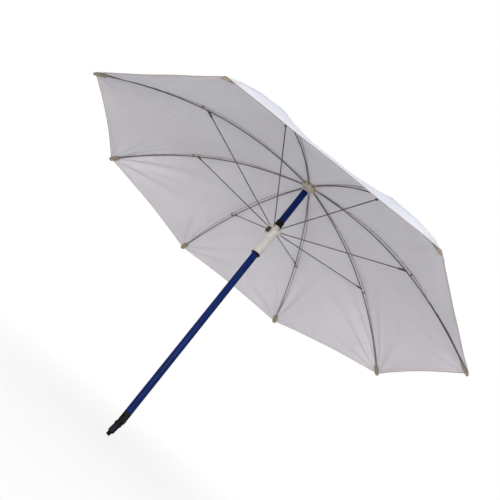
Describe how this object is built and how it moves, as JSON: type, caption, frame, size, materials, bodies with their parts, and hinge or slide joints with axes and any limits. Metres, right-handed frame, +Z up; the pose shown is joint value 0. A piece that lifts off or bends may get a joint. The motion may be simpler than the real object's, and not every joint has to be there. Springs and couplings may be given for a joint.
{
  "type": "tilting white umbrella",
  "caption": "Open white ribbed umbrella on a thick navy tube, with a sliding runner, push-button latch, tilt joint and plug-in spigot.",
  "frame": {"origin": "centre of the pole tube's lower end", "axes": "+Z up the pole towards the crown; the spigot bends towards -Y; the latch button faces -Y"},
  "size_m": [1.4194, 1.4194, 1.1001],
  "materials": {
    "pole_paint": "semi-gloss navy blue enamel on steel tube",
    "rib_steel": "dark oiled spring steel",
    "pivot_wire": "drawn wire",
    "rivet_steel": "zinc-plated",
    "cream_plastic": "moulded cream plastic",
    "black_plastic": "moulded black plastic",
    "button_plastic": "dark brown moulded plastic",
    "spring_steel": "bright spring wire",
    "pocket_leather": "tan stitched webbing",
    "canopy_fabric": "white polyester pongee"
  },
  "bodies": {
    "spigot": {"tilt_knuckle": "black_plastic", "tilt_pin": "rivet_steel", "spigot_tube": "pole_paint", "spigot_plug": "black_plastic"},
    "pole": {"pole_tube": "pole_paint", "tilt_housing": "black_plastic", "housing_pin": "rivet_steel", "crown": "cream_plastic", "crown_ring": "pivot_wire", "crown_pin": "rivet_steel", "top_cap": "cream_plastic", "cap_screw": "rivet_steel", "stop_collar": "black_plastic", "collar_pin": "rivet_steel"},
    "rib_1": {"rib_1": "rib_steel", "rivet_1": "rivet_steel", "corner_pocket_1": "pocket_leather", "gore_1": "canopy_fabric"},
    "rib_2": {"rib_2": "rib_steel", "rivet_2": "rivet_steel", "corner_pocket_2": "pocket_leather", "gore_2": "canopy_fabric"},
    "rib_3": {"rib_3": "rib_steel", "rivet_3": "rivet_steel", "corner_pocket_3": "pocket_leather", "gore_3": "canopy_fabric"},
    "rib_4": {"rib_4": "rib_steel", "rivet_4": "rivet_steel", "corner_pocket_4": "pocket_leather", "gore_4": "canopy_fabric"},
    "rib_5": {"rib_5": "rib_steel", "rivet_5": "rivet_steel", "corner_pocket_5": "pocket_leather", "gore_5": "canopy_fabric"},
    "rib_6": {"rib_6": "rib_steel", "rivet_6": "rivet_steel", "corner_pocket_6": "pocket_leather", "gore_6": "canopy_fabric"},
    "rib_7": {"rib_7": "rib_steel", "rivet_7": "rivet_steel", "corner_pocket_7": "pocket_leather", "gore_7": "canopy_fabric"},
    "rib_8": {"rib_8": "rib_steel", "rivet_8": "rivet_steel", "corner_pocket_8": "pocket_leather", "gore_8": "canopy_fabric"},
    "stretcher_1": {"stretcher_1": "rib_steel"},
    "stretcher_2": {"stretcher_2": "rib_steel"},
    "stretcher_3": {"stretcher_3": "rib_steel"},
    "stretcher_4": {"stretcher_4": "rib_steel"},
    "stretcher_5": {"stretcher_5": "rib_steel"},
    "stretcher_6": {"stretcher_6": "rib_steel"},
    "stretcher_7": {"stretcher_7": "rib_steel"},
    "stretcher_8": {"stretcher_8": "rib_steel"},
    "runner": {"runner": "cream_plastic", "runner_ring": "pivot_wire", "runner_lip_ring": "black_plastic", "latch_spring": "spring_steel"},
    "latch_button": {"latch_button": "button_plastic"}
  },
  "joints": [
    {"name": "pole_tilt", "type": "hinge", "parent": "spigot", "child": "pole", "pos_m": [0, 0, -0.026], "axis": [1, 0, 0], "range_deg": [-11, 29]},
    {"name": "rib_1_fold", "type": "hinge", "parent": "pole", "child": "rib_1", "pos_m": [0.02125, -0.0088, 0.99], "axis": [0.3827, 0.9239, 0], "range_deg": [0, 64], "deforming": ["gore_1", "gore_2", "gore_3", "gore_4", "gore_5", "gore_6", "gore_7", "gore_8"]},
    {"name": "rib_2_fold", "type": "hinge", "parent": "pole", "child": "rib_2", "pos_m": [0.0088, -0.02125, 0.99], "axis": [0.9239, 0.3827, 0], "range_deg": [0, 64]},
    {"name": "rib_3_fold", "type": "hinge", "parent": "pole", "child": "rib_3", "pos_m": [-0.0088, -0.02125, 0.99], "axis": [0.9239, -0.3827, 0], "range_deg": [0, 64]},
    {"name": "rib_4_fold", "type": "hinge", "parent": "pole", "child": "rib_4", "pos_m": [-0.02125, -0.0088, 0.99], "axis": [0.3827, -0.9239, 0], "range_deg": [0, 64]},
    {"name": "rib_5_fold", "type": "hinge", "parent": "pole", "child": "rib_5", "pos_m": [-0.02125, 0.0088, 0.99], "axis": [-0.3827, -0.9239, 0], "range_deg": [0, 64]},
    {"name": "rib_6_fold", "type": "hinge", "parent": "pole", "child": "rib_6", "pos_m": [-0.0088, 0.02125, 0.99], "axis": [-0.9239, -0.3827, 0], "range_deg": [0, 64]},
    {"name": "rib_7_fold", "type": "hinge", "parent": "pole", "child": "rib_7", "pos_m": [0.0088, 0.02125, 0.99], "axis": [-0.9239, 0.3827, 0], "range_deg": [0, 64]},
    {"name": "rib_8_fold", "type": "hinge", "parent": "pole", "child": "rib_8", "pos_m": [0.02125, 0.0088, 0.99], "axis": [-0.3827, 0.9239, 0], "range_deg": [0, 64]},
    {"name": "stretcher_1_pivot", "type": "hinge", "parent": "rib_1", "child": "stretcher_1", "pos_m": [0.41958, -0.17379, 0.87998], "axis": [0.3827, 0.9239, 0], "range_deg": [-128, 0]},
    {"name": "stretcher_2_pivot", "type": "hinge", "parent": "rib_2", "child": "stretcher_2", "pos_m": [0.17379, -0.41958, 0.87998], "axis": [0.9239, 0.3827, 0], "range_deg": [-128, 0]},
    {"name": "stretcher_3_pivot", "type": "hinge", "parent": "rib_3", "child": "stretcher_3", "pos_m": [-0.17379, -0.41958, 0.87998], "axis": [0.9239, -0.3827, 0], "range_deg": [-128, 0]},
    {"name": "stretcher_4_pivot", "type": "hinge", "parent": "rib_4", "child": "stretcher_4", "pos_m": [-0.41958, -0.17379, 0.87998], "axis": [0.3827, -0.9239, 0], "range_deg": [-128, 0]},
    {"name": "stretcher_5_pivot", "type": "hinge", "parent": "rib_5", "child": "stretcher_5", "pos_m": [-0.41958, 0.17379, 0.87998], "axis": [-0.3827, -0.9239, 0], "range_deg": [-128, 0]},
    {"name": "stretcher_6_pivot", "type": "hinge", "parent": "rib_6", "child": "stretcher_6", "pos_m": [-0.17379, 0.41958, 0.87998], "axis": [-0.9239, -0.3827, 0], "range_deg": [-128, 0]},
    {"name": "stretcher_7_pivot", "type": "hinge", "parent": "rib_7", "child": "stretcher_7", "pos_m": [0.17379, 0.41958, 0.87998], "axis": [-0.9239, 0.3827, 0], "range_deg": [-128, 0]},
    {"name": "stretcher_8_pivot", "type": "hinge", "parent": "rib_8", "child": "stretcher_8", "pos_m": [0.41958, 0.17379, 0.87998], "axis": [-0.3827, 0.9239, 0], "range_deg": [-128, 0]},
    {"name": "runner_pivot", "type": "hinge", "parent": "stretcher_1", "child": "runner", "pos_m": [0.02125, -0.0088, 0.76995], "axis": [0.3827, 0.9239, 0], "range_deg": [0, 64]},
    {"name": "latch_press", "type": "slide", "parent": "runner", "child": "latch_button", "axis": [0, 1, 0], "range_m": [0, 0.0035], "stiffness_N_per_m": 900, "deforming": ["latch_spring"]}
  ],
  "couplings": [
    {"joint": "rib_2_fold", "follows": "rib_1_fold", "ratio": 1},
    {"joint": "rib_3_fold", "follows": "rib_1_fold", "ratio": 1},
    {"joint": "rib_4_fold", "follows": "rib_1_fold", "ratio": 1},
    {"joint": "rib_5_fold", "follows": "rib_1_fold", "ratio": 1},
    {"joint": "rib_6_fold", "follows": "rib_1_fold", "ratio": 1},
    {"joint": "rib_7_fold", "follows": "rib_1_fold", "ratio": 1},
    {"joint": "rib_8_fold", "follows": "rib_1_fold", "ratio": 1},
    {"joint": "stretcher_1_pivot", "follows": "rib_1_fold", "ratio": -2},
    {"joint": "stretcher_2_pivot", "follows": "rib_1_fold", "ratio": -2},
    {"joint": "stretcher_3_pivot", "follows": "rib_1_fold", "ratio": -2},
    {"joint": "stretcher_4_pivot", "follows": "rib_1_fold", "ratio": -2},
    {"joint": "stretcher_5_pivot", "follows": "rib_1_fold", "ratio": -2},
    {"joint": "stretcher_6_pivot", "follows": "rib_1_fold", "ratio": -2},
    {"joint": "stretcher_7_pivot", "follows": "rib_1_fold", "ratio": -2},
    {"joint": "stretcher_8_pivot", "follows": "rib_1_fold", "ratio": -2},
    {"joint": "runner_pivot", "follows": "rib_1_fold", "ratio": 1}
  ]
}
